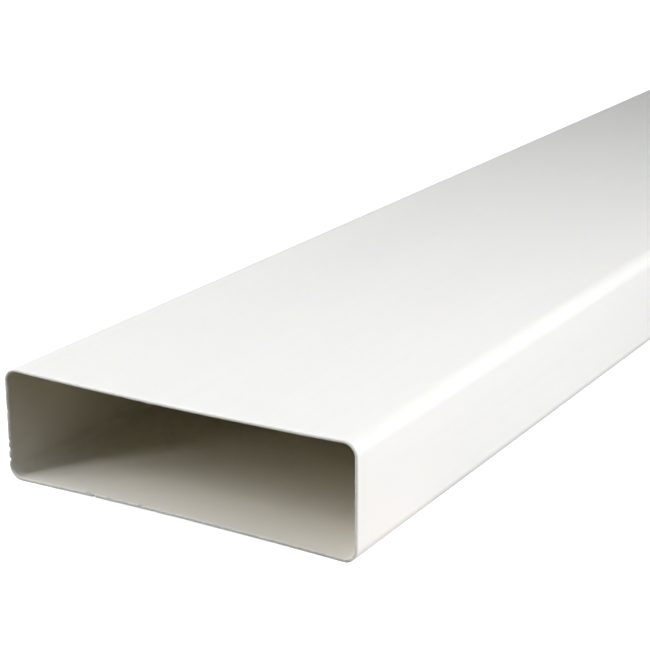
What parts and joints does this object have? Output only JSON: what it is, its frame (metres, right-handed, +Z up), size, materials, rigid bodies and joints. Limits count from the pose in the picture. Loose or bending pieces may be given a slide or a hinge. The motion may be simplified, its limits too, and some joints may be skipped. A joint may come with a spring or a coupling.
{
  "type": "flat channel duct",
  "caption": "Straight length of flat rectangular ventilation channel with rounded corners, thin plastic walls and open sawn ends, made to carry air between duct fittings.",
  "frame": {"origin": "halfway along the duct, midway between its side walls, on the surface that it lies on", "axes": "+Y along the duct, +X across its width, +Z up through its height"},
  "size_m": [0.204, 1, 0.06],
  "materials": {
    "upvc": "satin"
  },
  "bodies": {
    "root": {"flat_channel_duct": "upvc"}
  },
  "joints": []
}
